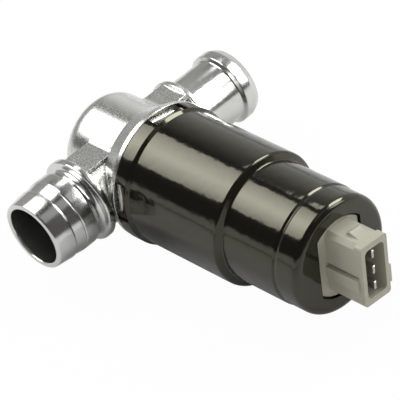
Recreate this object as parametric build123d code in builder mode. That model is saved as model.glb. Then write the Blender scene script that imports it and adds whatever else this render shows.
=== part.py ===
from build123d import *
import os
from math import cos, radians, sin, sqrt

# Idle air control valve, millimetres, +Z up.
# +X runs along the motor axis from the valve chamber to the plug.
# +Y runs along the two hose nipples.
# The origin is on the motor axis, at the middle of the plain clamp seat of the can.
# Stations along the motor axis are distances from the nipple axis.

# Slack when an edge is picked by its place and size
match = 0.01

# Drawn steel can: band round the casting, clamp seat, rear barrel and tail
nipple_x = -33.8
seat_r = 19.4
band_swell = 0.8
rear_step = 2.1
tail_step = 0.25
can_wall = 1.1
can_start = 12.4
band_length = 5.5
seat_length = 32.7
rear_length = 19.9
tail_length = 7.9
neck_down = 0.9
neck_lag = 0.65
corner_round = 0.45
shoulder_round = 0.9
tail_round = 2.0
bead_depth = 0.4
bead_half = 0.7

band_r = seat_r + band_swell
rear_r = seat_r - rear_step
tail_r = rear_r - tail_step
band_bore_r = band_r - can_wall
seat_bore_r = seat_r - can_wall
rear_bore_r = rear_r - can_wall
tail_bore_r = tail_r - can_wall
band_stop = can_start + band_length
seat_stop = band_stop + seat_length
rear_stop = seat_stop + rear_length
can_stop = rear_stop + tail_length
can_x = nipple_x + can_start
band_x = nipple_x + band_stop
seat_x = nipple_x + seat_stop
rear_x = nipple_x + rear_stop
can_end_x = nipple_x + can_stop

# Cast body: chamber, flange, bright lip and the spigot inside the can
chamber_reach = 15.0
chamber_r = 15.2
chamber_round = 5.2
chamber_wall = 2.8
chamber_floor = 3.2
flange_length = 5.7
flange_step = 0.7
flange_taper = 2.3
flange_round = 0.8
lip_length = 1.7
lip_step = 0.15
lip_round = 0.4
spigot_slip = 0.1
can_seat_gap = 0.1

chamber_bore_r = chamber_r - chamber_wall
lip_r = band_r - lip_step
flange_r = lip_r - flange_step
flange_root_r = flange_r - flange_taper
spigot_r = band_bore_r - spigot_slip
lip_start = can_start - lip_length
flange_start = lip_start - flange_length
body_end = band_stop - neck_down - can_seat_gap
chamber_x = nipple_x - chamber_reach
flange_x = nipple_x + flange_start
lip_x = nipple_x + lip_start

# Cast arms, flat above and below, and the web that ties them to the flange
neck_r = 10.6
flat_width = 9.3
flat_rise = 0.4
flat_blend = 3.0
web_height = 13.0
web_reach = 15.6
web_sink = 1.5
port_r = 6.5
port_depth = 13.6

flat_height = neck_r + flat_rise
web_x = flange_x + web_sink

# Both nipples are turned round one bore
nipple_bore_r = 8.8
mouth_round = 0.5
collar_bevel = 0.4

# Near nipple: collar, groove, plain seat, two barbs and the mouth, by distance from the motor axis
near_collar_start = 20.6
near_collar_width = 2.2
near_collar_step = 2.1
near_groove_width = 2.4
near_groove_wall = 1.5
near_seat_ramp = 1.0
near_seat_length = 4.5
near_seat_wall = 2.6
near_barb_pitch = 3.6
near_crest_two_drop = 0.02
near_crest_one_drop = 0.3
near_lead = 5.8
near_mouth_wall = 1.6
barb_step = 0.35
barb_gap = 0.35

near_collar_r = neck_r + near_collar_step
near_collar_stop = near_collar_start + near_collar_width
near_groove_r = nipple_bore_r + near_groove_wall
near_groove_stop = near_collar_stop + near_groove_width
near_seat_r = nipple_bore_r + near_seat_wall
near_seat_start = near_groove_stop + near_seat_ramp
near_crest_two = near_seat_start + near_seat_length
near_crest_two_r = near_seat_r - near_crest_two_drop
near_crest_one = near_crest_two + near_barb_pitch
near_crest_one_r = near_seat_r - near_crest_one_drop
near_mouth = near_crest_one + near_lead
near_mouth_r = nipple_bore_r + near_mouth_wall

# Far nipple: collar, plain neck and one barb
far_collar_start = 18.4
far_collar_width = 1.8
far_collar_step = 1.4
far_neck_length = 13.4
far_neck_wall = 1.1
far_barb_ramp = 0.7
far_barb_wall = 2.3
far_seat_length = 3.0
far_lead = 2.1
far_mouth_wall = 1.4

far_collar_r = neck_r + far_collar_step
far_collar_stop = far_collar_start + far_collar_width
far_neck_r = nipple_bore_r + far_neck_wall
far_barb = far_collar_stop + far_neck_length
far_barb_r = nipple_bore_r + far_barb_wall
far_seat_start = far_barb + far_barb_ramp
far_seat_stop = far_seat_start + far_seat_length
far_mouth = far_seat_stop + far_lead
far_mouth_r = nipple_bore_r + far_mouth_wall

# Four crimps that lock the can on the casting
crimp_count = 4
crimp_angle = 80.0
crimp_width = 11.6
crimp_length = 4.6
crimp_depth = 1.5
tongue_wall = 0.8
tongue_side_gap = 1.0
tongue_gap = 0.1
tongue_root = 0.3
tongue_sink = 0.7
tongue_tip = 1.2
tongue_foot = 0.9

crimp_floor_r = spigot_r - crimp_depth
tongue_width = crimp_width - 2 * tongue_side_gap

# Bearing plate between chamber and motor
plate_gap = 0.05
plate_seat_wall = 3.0
plate_wall = 4.9
plate_spigot = 2.2
spigot_gap = 0.1
boss_r = 9.6
boss_length = 4.0
shaft_pass_gap = 0.25
seal_width = 2.0
seal_wall = 2.5
ring_room = 1.0
ring_room_gap = 1.0

plate_bore_r = spigot_r - plate_seat_wall
plate_r = plate_bore_r - plate_gap
plate_stop = body_end
plate_start = plate_stop - plate_wall
plate_nose = plate_start - plate_spigot
boss_stop = plate_stop + boss_length

# Sealing cords of the plate and the plug housing
seal_cord_r = 0.75
seal_squeeze = 0.03
seal_groove = 1.8
plate_seal_inset = 2.4

plate_seal_x = plate_start + plate_seal_inset

# Shaft
shaft_r = 2.5
shaft_bevel = 0.3
shaft_nose = 0.8
collar_step = 1.0
collar_width = 0.9
seal_gap = 0.03

collar_r = shaft_r + collar_step
collar_x = boss_stop
seal_r = shaft_r + seal_wall

# Rolling bearing, 5 x 13 x 4
bearing_wall = 4.0
bearing_width = 4.0
ball_r = 1.0
ball_count = 7
ball_gap = 0.03
race_wall = 1.35

bearing_r = shaft_r + bearing_wall
inner_race_r = shaft_r + race_wall
outer_race_r = bearing_r - race_wall
ball_pitch_r = (inner_race_r + outer_race_r) / 2
bearing_x = boss_stop - bearing_width

# Retaining ring of the shaft
clip_width = 0.6
clip_wall = 1.9
clip_sink = 0.4
clip_mouth = 3.0

clip_outer_r = shaft_r + clip_wall
clip_groove_r = shaft_r - clip_sink
clip_x = bearing_x - ring_room / 2
ring_room_r = clip_outer_r + ring_room_gap

# Rotary slide
slide_gap = 0.15
slide_wall = 2.0
slide_half_angle = 36.0
slide_rest_angle = 20.0
slide_floor_gap = 2.2
slide_plate_gap = 1.4
slide_web = 1.6
slide_hub_wall = 2.1
stop_pin_r = 1.25
stop_pin_ring = 8.2
stop_pin_reach = 2.6
stop_pin_seat = 3.2
stop_pin_angle = 200.0
stop_gap = 0.2
turn_back = 20.0
turn_open = 50.0

slide_r = chamber_bore_r - slide_gap
slide_hub_r = shaft_r + slide_hub_wall
slide_start = chamber_reach - chamber_floor - slide_floor_gap
slide_stop = plate_nose - slide_plate_gap
shaft_start = slide_start + shaft_nose

# Magnets on the wall of the can, and their clips
magnet_gap = 0.1
magnet_wall = 4.9
magnet_front = 7.1
magnet_back = 2.0
magnet_half_angle = 62.0
magnet_clip_wall = 0.6
magnet_clip_half_angle = 27.0
magnet_clip_leg = 4.2
magnet_clip_inset = 2.0

magnet_outer_r = seat_bore_r - magnet_gap
magnet_inner_r = magnet_outer_r - magnet_wall
magnet_start = band_stop + magnet_front
magnet_length = seat_stop - magnet_back - magnet_start

# Armature and its windings
air_gap = 0.5
core_front = 1.0
core_back = 0.6
core_web = 7.0
core_shoe = 6.6
winding_gap = 0.2
winding_build = 4.0
winding_recess = 3.1
winding_inner = 2.8
winding_round = 2.5

core_r = magnet_inner_r - air_gap
core_start = magnet_start + core_front
core_length = magnet_length - core_front - core_back
winding_length = core_length + 2 * winding_gap
winding_across = core_web + 2 * winding_gap
winding_outer_length = winding_length + 2 * winding_build
winding_outer_across = 2 * (core_r - winding_recess)
winding_height = core_shoe - winding_gap - winding_inner

# Brush holder, brushes and springs
brush_count = 3
brush_angle = 90.0
brush_contact_gap = 0.05
brush_width = 3.0
brush_height = 4.0
brush_gap = 0.1
box_wall = 1.0
box_floor = 1.5
box_inner_gap = 1.1
box_outer_gap = 2.2
spring_wall = 0.3
spring_gap = 0.1
spring_room = 2.8
spring_folds = 4
spring_swing = 0.9
spring_width = 3.0
holder_inset = 9.3
holder_wall = 2.0
holder_gap = 0.2
holder_hole_gap = 0.7

holder_start = rear_stop - holder_inset
holder_stop = holder_start + holder_wall
brush_x = holder_start - box_floor - brush_gap - brush_height / 2
box_start = brush_x - brush_height / 2 - brush_gap - box_wall

# Drum with its slip contacts
drum_wall = 1.8
drum_front = 3.6
drum_length = 8.3
contact_wall = 1.0
contact_inset = 0.6
contact_length = 6.0
contact_turn = 60.0
contact_slit = 0.8

drum_r = shaft_r + drum_wall
drum_start = brush_x - drum_front
contact_r = drum_r + contact_wall
contact_middle_r = drum_r + contact_wall / 2
contact_start = drum_start + contact_inset
holder_hole_r = contact_r + holder_hole_gap
brush_face_r = contact_r + brush_contact_gap
box_inner_r = contact_r + box_inner_gap
box_outer_r = rear_bore_r - box_outer_gap
box_middle_r = (box_inner_r + box_outer_r) / 2
brush_tail_r = box_outer_r - box_wall - spring_room

# Rear bush and washer
bush_wall = 2.5
bush_running_gap = 0.03
bush_front = 0.2
bush_length = 4.6
bush_end_gap = 0.4
washer_wall = 0.6
washer_step = 2.3
washer_gap = 0.15

bush_r = shaft_r + bush_wall
bush_start = holder_stop + bush_front
bush_stop = bush_start + bush_length
shaft_tail = bush_stop - bush_end_gap
washer_r = shaft_r + washer_step

# Plug housing: disc inside the can, plinth in the window, box outside
plug_length = 12.4
plug_turn = -6.5
plug_rise = 1.0
disc_inset = 4.5
disc_end_gap = 3.4
disc_gap = 0.1
disc_boss_wall = 2.6
skirt_wall = 2.4
skirt_gap = 0.1
plug_seal_inset = 5.4
plinth_r = 11.5
plinth_half = 7.6
plinth_sink = 0.5
window_gap = 0.6
box_width = 9.74
box_height = 19.1
box_round = 1.0
edge_bevel = 1.3
edge_bevel_turn = 45.0
mouth_band = 2.6
socket_wall = 1.3
socket_end_wall = 1.85
socket_round = 1.5
socket_depth = 10.2
catch_width = 4.0
catch_back = 7.6
catch_ramp = 1.1
catch_length = 4.2
catch_height = 1.0
rail_top = -1.2
rail_height = 3.6
rail_out = 0.7
rail_back = 1.6
key_groove = 1.0
key_depth = 0.8
far_rail_height = 5.4

plug_stop = can_stop + plug_length
window_r = plinth_r + window_gap
window_half = plinth_half + window_gap
disc_start = rear_stop - disc_inset
disc_stop = can_stop - disc_end_gap
disc_r = tail_bore_r - disc_gap
disc_boss_r = bush_r + disc_boss_wall
plug_seal_x = can_stop - plug_seal_inset
plinth_stop = can_stop - plinth_sink
bevel_stop = plug_stop - mouth_band
bevel_side = edge_bevel * sqrt(2)
socket_width = box_width - 2 * socket_wall
socket_height = box_height - 2 * socket_end_wall
catch_start = plug_stop - catch_back
catch_top = catch_start + catch_ramp
catch_stop = catch_start + catch_length
rail_stop = plug_stop - rail_back

# Flat contact blades
blade_pitch = 5.0
blade_width = 2.5
blade_wall = 0.8
blade_cover = 3.4
blade_tail_width = 1.6
blade_tail_inset = 1.05
blade_tip_gap = 0.5
blade_point = 0.3

blade_root = disc_start + blade_cover
blade_tip = plug_stop - blade_tip_gap
blade_tail_reach = disc_r - skirt_wall - plug_rise - blade_tail_inset


def station(distance):
    """X of a station that lies a distance from the nipple axis."""
    return nipple_x + distance


def across(distance):
    """YZ plane at a station, its local x along +Y and its local y along +Z."""
    return Plane(origin=(station(distance), 0, 0), x_dir=(0, 1, 0), z_dir=(1, 0, 0))


def spoke_plane(distance, angle):
    """YZ plane at a station, its local x outward at an angle from +Y."""
    turn = radians(angle)
    return Plane(origin=(station(distance), 0, 0), x_dir=(0, cos(turn), sin(turn)), z_dir=(1, 0, 0))


def radial_plane(angle):
    """Plane through the motor axis, local x along +X, local y outward at an angle from +Y."""
    turn = radians(angle)
    return Plane(origin=(0, 0, 0), x_dir=(1, 0, 0), z_dir=(0, -sin(turn), cos(turn)))


def plug_plane(distance, rise):
    """Plane across the motor axis, turned with the plug and raised with it."""
    turn = radians(plug_turn)
    centre = (station(distance), -rise * sin(turn), rise * cos(turn))
    return Plane(origin=centre, x_dir=(0, cos(turn), sin(turn)), z_dir=(1, 0, 0))


def plug_side(offset):
    """Plane along the plug's side, an offset across it, local x along +X, local y up the plug."""
    turn = radians(plug_turn)
    lift_y = -plug_rise * sin(turn)
    lift_z = plug_rise * cos(turn)
    centre = (nipple_x, lift_y + offset * cos(turn), lift_z + offset * sin(turn))
    return Plane(origin=centre, x_dir=(1, 0, 0), z_dir=(0, -cos(turn), -sin(turn)))


def arm_plane(distance):
    """Plane across the nipple axis, at a distance along +Y."""
    return Plane(origin=(nipple_x, distance, 0), x_dir=(1, 0, 0), z_dir=(0, 1, 0))


def rims(shape, x, radius):
    """Circular edges about the motor axis at one X and one radius."""
    circles = shape.edges().filter_by(GeomType.CIRCLE)
    near = circles.filter_by(lambda e: abs(e.arc_center.X - x) < match)
    return near.filter_by(lambda e: abs(e.radius - radius) < match)


def crimp_angles():
    """Angles of the crimps about +X, measured from +Y."""
    return [crimp_angle + index * 360.0 / crimp_count for index in range(crimp_count)]


def brush_angles():
    """Angles of the brushes about +X, measured from +Y."""
    return [brush_angle + index * 360.0 / brush_count for index in range(brush_count)]


nipple_axis = Axis((nipple_x, 0, 0), (0, 1, 0))

# Flange of the casting, a cone with its lip and the spigot that the can sits on
with BuildPart() as flange_ring:
    with BuildSketch(Plane.XY):
        with BuildLine():
            Polyline(
                (flange_x, 0),
                (flange_x, flange_root_r),
                (lip_x, flange_r),
                (lip_x, lip_r),
                (can_x, lip_r),
                (can_x, spigot_r),
                (station(body_end), spigot_r),
                (station(body_end), 0),
                close=True,
            )
        make_face()
    revolve(axis=Axis.X)
    fillet(rims(flange_ring, flange_x, flange_root_r), flange_round)
    fillet(rims(flange_ring, lip_x, lip_r), lip_round)

# Valve body: one aluminium casting with its turned nipples
with BuildPart() as valve_body:
    with BuildSketch(across(-chamber_reach)):
        Circle(chamber_r)
    extrude(amount=chamber_reach + body_end)
    fillet(rims(valve_body, chamber_x, chamber_r), chamber_round)
    # Flats above and below both arms, blended into the chamber
    with BuildSketch(arm_plane(-near_collar_start)):
        Rectangle(flat_width, 2 * flat_height)
    extrude(amount=near_collar_start + far_collar_start)
    flat_roots = valve_body.edges().filter_by(Axis.X)
    flat_roots = flat_roots.filter_by(lambda e: abs(abs(e.center().Z) - flat_height) < match)
    flat_roots = flat_roots.filter_by(lambda e: abs(e.center().Y) < chamber_r)
    fillet(flat_roots, flat_blend)
    add(flange_ring.part)
    # Round necks of the arms
    with BuildSketch(arm_plane(-near_collar_start)):
        Circle(neck_r)
    extrude(amount=near_collar_start + far_collar_start)
    # Web that ties the arms to the flange
    with BuildSketch(Plane.XY):
        with Locations(((nipple_x + web_x) / 2, 0)):
            Rectangle(web_x - nipple_x, 2 * web_reach)
    extrude(amount=web_height / 2, both=True)
    # Near nipple
    with BuildSketch(Plane.XY):
        with BuildLine():
            Polyline(
                (nipple_x, -near_collar_start),
                (nipple_x + near_collar_r - collar_bevel, -near_collar_start),
                (nipple_x + near_collar_r, -near_collar_start - collar_bevel),
                (nipple_x + near_collar_r, -near_collar_stop + collar_bevel),
                (nipple_x + near_collar_r - collar_bevel, -near_collar_stop),
                (nipple_x + near_groove_r, -near_collar_stop - collar_bevel),
                (nipple_x + near_groove_r, -near_groove_stop),
                (nipple_x + near_seat_r, -near_seat_start),
                (nipple_x + near_seat_r, -near_crest_two + barb_gap),
                (nipple_x + near_seat_r - barb_step, -near_crest_two + barb_gap),
                (nipple_x + near_crest_two_r, -near_crest_two),
                (nipple_x + near_crest_one_r - barb_step, -near_crest_one + barb_gap),
                (nipple_x + near_crest_one_r, -near_crest_one),
                (nipple_x + near_mouth_r, -near_mouth),
                (nipple_x, -near_mouth),
                close=True,
            )
        make_face()
    revolve(axis=nipple_axis)
    # Far nipple
    with BuildSketch(Plane.XY):
        with BuildLine():
            Polyline(
                (nipple_x, far_collar_start),
                (nipple_x + far_collar_r - collar_bevel, far_collar_start),
                (nipple_x + far_collar_r, far_collar_start + collar_bevel),
                (nipple_x + far_collar_r, far_collar_stop - collar_bevel),
                (nipple_x + far_collar_r - collar_bevel, far_collar_stop),
                (nipple_x + far_neck_r, far_collar_stop + collar_bevel),
                (nipple_x + far_neck_r, far_barb),
                (nipple_x + far_barb_r, far_seat_start),
                (nipple_x + far_barb_r, far_seat_stop),
                (nipple_x + far_mouth_r, far_mouth),
                (nipple_x, far_mouth),
                close=True,
            )
        make_face()
    revolve(axis=nipple_axis)
    # Chamber bore, seat of the bearing plate, and the air way through both nipples
    with BuildSketch(across(-chamber_reach + chamber_floor)):
        Circle(chamber_bore_r)
    extrude(amount=chamber_reach - chamber_floor + body_end, mode=Mode.SUBTRACT)
    with BuildSketch(across(plate_start)):
        Circle(plate_bore_r)
    extrude(amount=body_end - plate_start, mode=Mode.SUBTRACT)
    with BuildSketch(arm_plane(-near_mouth)):
        Circle(port_r)
    extrude(amount=near_mouth + far_mouth, mode=Mode.SUBTRACT)
    with BuildSketch(arm_plane(-near_mouth)):
        Circle(nipple_bore_r)
    extrude(amount=near_mouth - port_depth, mode=Mode.SUBTRACT)
    with BuildSketch(arm_plane(port_depth)):
        Circle(nipple_bore_r)
    extrude(amount=far_mouth - port_depth, mode=Mode.SUBTRACT)
    mouth_rims = valve_body.edges().filter_by(GeomType.CIRCLE).group_by(Axis.Y)
    fillet(mouth_rims[0] + mouth_rims[-1], mouth_round)
    # Pockets that the crimps of the can are pressed into
    with BuildSketch(across(can_start)):
        with PolarLocations((crimp_floor_r + lip_r) / 2, crimp_count, start_angle=crimp_angle):
            Rectangle(lip_r - crimp_floor_r, crimp_width)
    extrude(amount=body_end - can_start, mode=Mode.SUBTRACT)

# Motor can: one drawn steel shell, necked down in steps, with a window at its end
with BuildPart() as motor_can:
    with BuildSketch(Plane.XY):
        with BuildLine():
            Polyline(
                (can_x, band_r),
                (band_x - neck_down, band_r),
                (band_x, seat_r),
                (seat_x, seat_r),
                (seat_x + neck_down, rear_r),
                (rear_x - bead_half, rear_r),
                (rear_x, rear_r - bead_depth),
                (rear_x + bead_half, tail_r),
                (can_end_x, tail_r),
                (can_end_x, 0),
                (can_end_x - can_wall, 0),
                (can_end_x - can_wall, tail_bore_r),
                (rear_x + bead_half - neck_lag, tail_bore_r),
                (rear_x - bead_half - neck_lag, rear_bore_r),
                (seat_x + neck_down - neck_lag, rear_bore_r),
                (seat_x - neck_lag, seat_bore_r),
                (band_x, seat_bore_r),
                (band_x - neck_lag, band_bore_r),
                (can_x, band_bore_r),
                close=True,
            )
        make_face()
    revolve(axis=Axis.X)
    fillet(rims(motor_can, can_x, band_r), corner_round)
    fillet(rims(motor_can, band_x - neck_down, band_r), corner_round)
    fillet(rims(motor_can, seat_x, seat_r), shoulder_round)
    fillet(rims(motor_can, seat_x + neck_down, rear_r), corner_round)
    fillet(rims(motor_can, can_end_x, tail_r), tail_round)
    # Window of the plug's plinth, round with two flats
    with BuildSketch(plug_plane(can_stop - can_wall, 0)):
        Circle(window_r)
        Rectangle(2 * window_half, 2 * window_r, mode=Mode.INTERSECT)
    extrude(amount=can_wall, mode=Mode.SUBTRACT)
    # Windows of the crimps, and the tongues bent down into the casting's pockets
    with BuildSketch(across(can_start)):
        with PolarLocations((seat_bore_r + band_r) / 2 + can_wall, crimp_count, start_angle=crimp_angle):
            Rectangle(band_r - seat_bore_r + 2 * can_wall, crimp_width)
    extrude(amount=crimp_length, mode=Mode.SUBTRACT)
    for angle in crimp_angles():
        with BuildSketch(radial_plane(angle)):
            with BuildLine():
                Polyline(
                    (can_x + crimp_length + tongue_root, band_r - tongue_sink),
                    (can_x + crimp_length + tongue_root, band_bore_r + tongue_gap),
                    (can_x + tongue_tip + tongue_foot, crimp_floor_r + tongue_gap),
                    (can_x + tongue_tip, crimp_floor_r + tongue_gap),
                    (can_x + tongue_tip, crimp_floor_r + tongue_gap + tongue_wall),
                    (can_x + tongue_tip + tongue_foot, crimp_floor_r + tongue_gap + tongue_wall),
                    close=True,
                )
            make_face()
        extrude(amount=tongue_width / 2, both=True)

# Bearing plate: closes the chamber and carries the shaft
with BuildPart() as bearing_plate:
    with BuildSketch(across(plate_nose)):
        Circle(chamber_bore_r - spigot_gap)
    extrude(amount=plate_spigot)
    with BuildSketch(across(plate_start)):
        Circle(plate_r)
    extrude(amount=plate_stop - plate_start)
    with BuildSketch(across(plate_stop)):
        Circle(boss_r)
    extrude(amount=boss_stop - plate_stop)
    with BuildSketch(across(plate_nose)):
        Circle(shaft_r + shaft_pass_gap)
    extrude(amount=boss_stop - plate_nose, mode=Mode.SUBTRACT)
    with BuildSketch(across(plate_nose)):
        Circle(seal_r)
    extrude(amount=seal_width, mode=Mode.SUBTRACT)
    with BuildSketch(across(bearing_x)):
        Circle(bearing_r)
    extrude(amount=bearing_width, mode=Mode.SUBTRACT)
    with BuildSketch(across(bearing_x - ring_room)):
        Circle(ring_room_r)
    extrude(amount=ring_room, mode=Mode.SUBTRACT)
    # Groove of the sealing cord
    with BuildSketch(across(plate_seal_x - seal_groove / 2)):
        Circle(plate_bore_r)
        Circle(plate_bore_r - 2 * (seal_cord_r + seal_squeeze), mode=Mode.SUBTRACT)
    extrude(amount=seal_groove, mode=Mode.SUBTRACT)
    # Seat of the stop pin
    with BuildSketch(across(plate_nose)):
        with PolarLocations(stop_pin_ring, 1, start_angle=stop_pin_angle):
            Circle(stop_pin_r)
    extrude(amount=stop_pin_seat, mode=Mode.SUBTRACT)

with BuildPart() as stop_pin:
    with BuildSketch(across(plate_nose - stop_pin_reach)):
        with PolarLocations(stop_pin_ring, 1, start_angle=stop_pin_angle):
            Circle(stop_pin_r)
    extrude(amount=stop_pin_reach + stop_pin_seat)

with BuildPart() as plate_seal:
    with BuildSketch(Plane.XY):
        with Locations((station(plate_seal_x), plate_bore_r - seal_cord_r - seal_squeeze)):
            Circle(seal_cord_r)
    revolve(axis=Axis.X)

with BuildPart() as shaft_seal:
    with BuildSketch(across(plate_nose)):
        Circle(seal_r)
        Circle(shaft_r + seal_gap, mode=Mode.SUBTRACT)
    extrude(amount=seal_width)

# Rolling bearing in the plate
with BuildPart() as bearing_outer_race:
    with BuildSketch(across(bearing_x)):
        Circle(bearing_r)
        Circle(outer_race_r, mode=Mode.SUBTRACT)
    extrude(amount=bearing_width)
    with BuildSketch(Plane.XY):
        with Locations((station(bearing_x + bearing_width / 2), ball_pitch_r)):
            Circle(ball_r + ball_gap)
    revolve(axis=Axis.X, mode=Mode.SUBTRACT)

with BuildPart() as bearing_inner_race:
    with BuildSketch(across(bearing_x)):
        Circle(inner_race_r)
        Circle(shaft_r, mode=Mode.SUBTRACT)
    extrude(amount=bearing_width)
    with BuildSketch(Plane.XY):
        with Locations((station(bearing_x + bearing_width / 2), ball_pitch_r)):
            Circle(ball_r + ball_gap)
    revolve(axis=Axis.X, mode=Mode.SUBTRACT)

with BuildPart(across(bearing_x + bearing_width / 2)) as bearing_balls:
    with PolarLocations(ball_pitch_r, ball_count):
        Sphere(ball_r)

# Rotor shaft with its collar and the groove of the retaining ring
with BuildPart() as rotor_shaft:
    with BuildSketch(Plane.XY):
        with BuildLine():
            Polyline(
                (station(-shaft_start), 0),
                (station(-shaft_start), shaft_r),
                (station(clip_x - clip_width / 2), shaft_r),
                (station(clip_x - clip_width / 2), clip_groove_r),
                (station(clip_x + clip_width / 2), clip_groove_r),
                (station(clip_x + clip_width / 2), shaft_r),
                (station(collar_x), shaft_r),
                (station(collar_x), collar_r),
                (station(collar_x + collar_width), collar_r),
                (station(collar_x + collar_width), shaft_r),
                (station(shaft_tail), shaft_r),
                (station(shaft_tail), 0),
                close=True,
            )
        make_face()
    revolve(axis=Axis.X)
    chamfer(rims(rotor_shaft, station(-shaft_start), shaft_r), shaft_bevel)
    chamfer(rims(rotor_shaft, station(shaft_tail), shaft_r), shaft_bevel)

with BuildPart() as retaining_ring:
    with BuildSketch(across(clip_x - clip_width / 2)):
        Circle(clip_outer_r)
        Circle(clip_groove_r, mode=Mode.SUBTRACT)
        with Locations((0, clip_outer_r)):
            Rectangle(clip_mouth, 2 * clip_outer_r, mode=Mode.SUBTRACT)
    extrude(amount=clip_width)

# Rotary slide: a curved wall that closes the far port, on a hub with a slotted disc
with BuildPart() as rotary_slide:
    with BuildSketch(across(-slide_start)):
        Circle(slide_r)
        Circle(slide_r - slide_wall, mode=Mode.SUBTRACT)
    extrude(amount=slide_start + slide_stop)
    with BuildSketch(across(-slide_start)):
        Circle(slide_r)
    extrude(amount=slide_web)
    split(bisect_by=radial_plane(slide_rest_angle - slide_half_angle), keep=Keep.TOP)
    split(bisect_by=radial_plane(slide_rest_angle + slide_half_angle), keep=Keep.BOTTOM)
    with BuildSketch(across(slide_stop - slide_web)):
        Circle(slide_r)
    extrude(amount=slide_web)
    with BuildSketch(across(-slide_start)):
        Circle(slide_hub_r)
    extrude(amount=slide_start + slide_stop)
    with BuildSketch(across(-slide_start)):
        Circle(shaft_r)
    extrude(amount=slide_start + slide_stop, mode=Mode.SUBTRACT)
    # Curved slot that runs on the stop pin and limits the turn
    with BuildSketch(across(slide_stop - slide_web)):
        with BuildLine() as stop_track:
            CenterArc((0, 0), stop_pin_ring, stop_pin_angle - turn_open, turn_open + turn_back)
        SlotArc(stop_track.edge(), 2 * (stop_pin_r + stop_gap))
    extrude(amount=slide_web, mode=Mode.SUBTRACT)

# Armature: two pole shoes on a web, with two windings round the web
with BuildPart() as armature_core:
    with BuildSketch(across(core_start)):
        Circle(core_r)
        Circle(shaft_r, mode=Mode.SUBTRACT)
        with Locations((core_web / 2 + core_r / 2, 0), (-core_web / 2 - core_r / 2, 0)):
            Rectangle(core_r, 2 * core_shoe, mode=Mode.SUBTRACT)
    extrude(amount=core_length)

winding_bottoms = {"opening_winding": winding_inner, "closing_winding": -winding_inner - winding_height}
windings = {}
for winding_name, winding_z in winding_bottoms.items():
    with BuildPart() as winding:
        with BuildSketch(Plane.XY.offset(winding_z)):
            with Locations((station(core_start + core_length / 2), 0)):
                RectangleRounded(winding_outer_length, winding_outer_across, winding_round)
                Rectangle(winding_length, winding_across, mode=Mode.SUBTRACT)
        extrude(amount=winding_height)
    windings[winding_name] = winding.part

# Curved magnets on the wall of the can, spread by two spring clips
magnets = {}
for magnet_name, magnet_angle in {"magnet_far": 0.0, "magnet_near": 180.0}.items():
    with BuildPart() as magnet:
        with BuildSketch(across(magnet_start)):
            Circle(magnet_outer_r)
            Circle(magnet_inner_r, mode=Mode.SUBTRACT)
        extrude(amount=magnet_length)
        split(bisect_by=radial_plane(magnet_angle - magnet_half_angle), keep=Keep.TOP)
        split(bisect_by=radial_plane(magnet_angle + magnet_half_angle), keep=Keep.BOTTOM)
    magnets[magnet_name] = magnet.part

magnet_clips = {}
for magnet_clip_name, clip_angle in {"magnet_clip_upper": 90.0, "magnet_clip_lower": 270.0}.items():
    leg_r = magnet_outer_r - magnet_clip_leg / 2
    with BuildPart() as magnet_clip:
        with BuildSketch(across(magnet_start + magnet_clip_inset)):
            Circle(magnet_outer_r)
            Circle(magnet_outer_r - magnet_clip_wall, mode=Mode.SUBTRACT)
        extrude(amount=magnet_length - 2 * magnet_clip_inset)
        split(bisect_by=radial_plane(clip_angle - magnet_clip_half_angle), keep=Keep.TOP)
        split(bisect_by=radial_plane(clip_angle + magnet_clip_half_angle), keep=Keep.BOTTOM)
        # A leg at each end of the bow presses on a magnet
        with BuildSketch(across(magnet_start + magnet_clip_inset)):
            with PolarLocations(leg_r, 1, start_angle=clip_angle - magnet_clip_half_angle):
                with Locations((-magnet_clip_wall, magnet_clip_wall)):
                    Rectangle(magnet_clip_leg, magnet_clip_wall)
            with PolarLocations(leg_r, 1, start_angle=clip_angle + magnet_clip_half_angle):
                with Locations((-magnet_clip_wall, -magnet_clip_wall)):
                    Rectangle(magnet_clip_leg, magnet_clip_wall)
        extrude(amount=magnet_length - 2 * magnet_clip_inset)
    magnet_clips[magnet_clip_name] = magnet_clip.part

# Drum with its three slip contacts
with BuildPart() as contact_drum:
    with BuildSketch(across(drum_start)):
        Circle(drum_r)
        Circle(shaft_r, mode=Mode.SUBTRACT)
    extrude(amount=drum_length)

with BuildPart() as slip_contacts:
    with BuildSketch(across(contact_start)):
        Circle(contact_r)
        Circle(drum_r, mode=Mode.SUBTRACT)
        with PolarLocations(contact_middle_r, brush_count, start_angle=brush_angle + contact_turn):
            Rectangle(2 * contact_wall, contact_slit, mode=Mode.SUBTRACT)
    extrude(amount=contact_length)

# Brush holder: a plate with three boxes, each with a brush and its spring
with BuildPart() as brush_holder:
    with BuildSketch(across(holder_start)):
        Circle(rear_bore_r - holder_gap)
        Circle(holder_hole_r, mode=Mode.SUBTRACT)
    extrude(amount=holder_stop - holder_start)
    with BuildSketch(across(box_start)):
        with PolarLocations(box_middle_r, brush_count, start_angle=brush_angle):
            Rectangle(box_outer_r - box_inner_r, brush_width + 2 * (brush_gap + box_wall))
    extrude(amount=holder_start - box_start)
    with BuildSketch(across(box_start + box_wall)):
        with PolarLocations(box_middle_r - box_wall, brush_count, start_angle=brush_angle):
            Rectangle(box_outer_r - box_inner_r, brush_width + 2 * brush_gap)
    extrude(amount=brush_height + 2 * brush_gap, mode=Mode.SUBTRACT)

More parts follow.
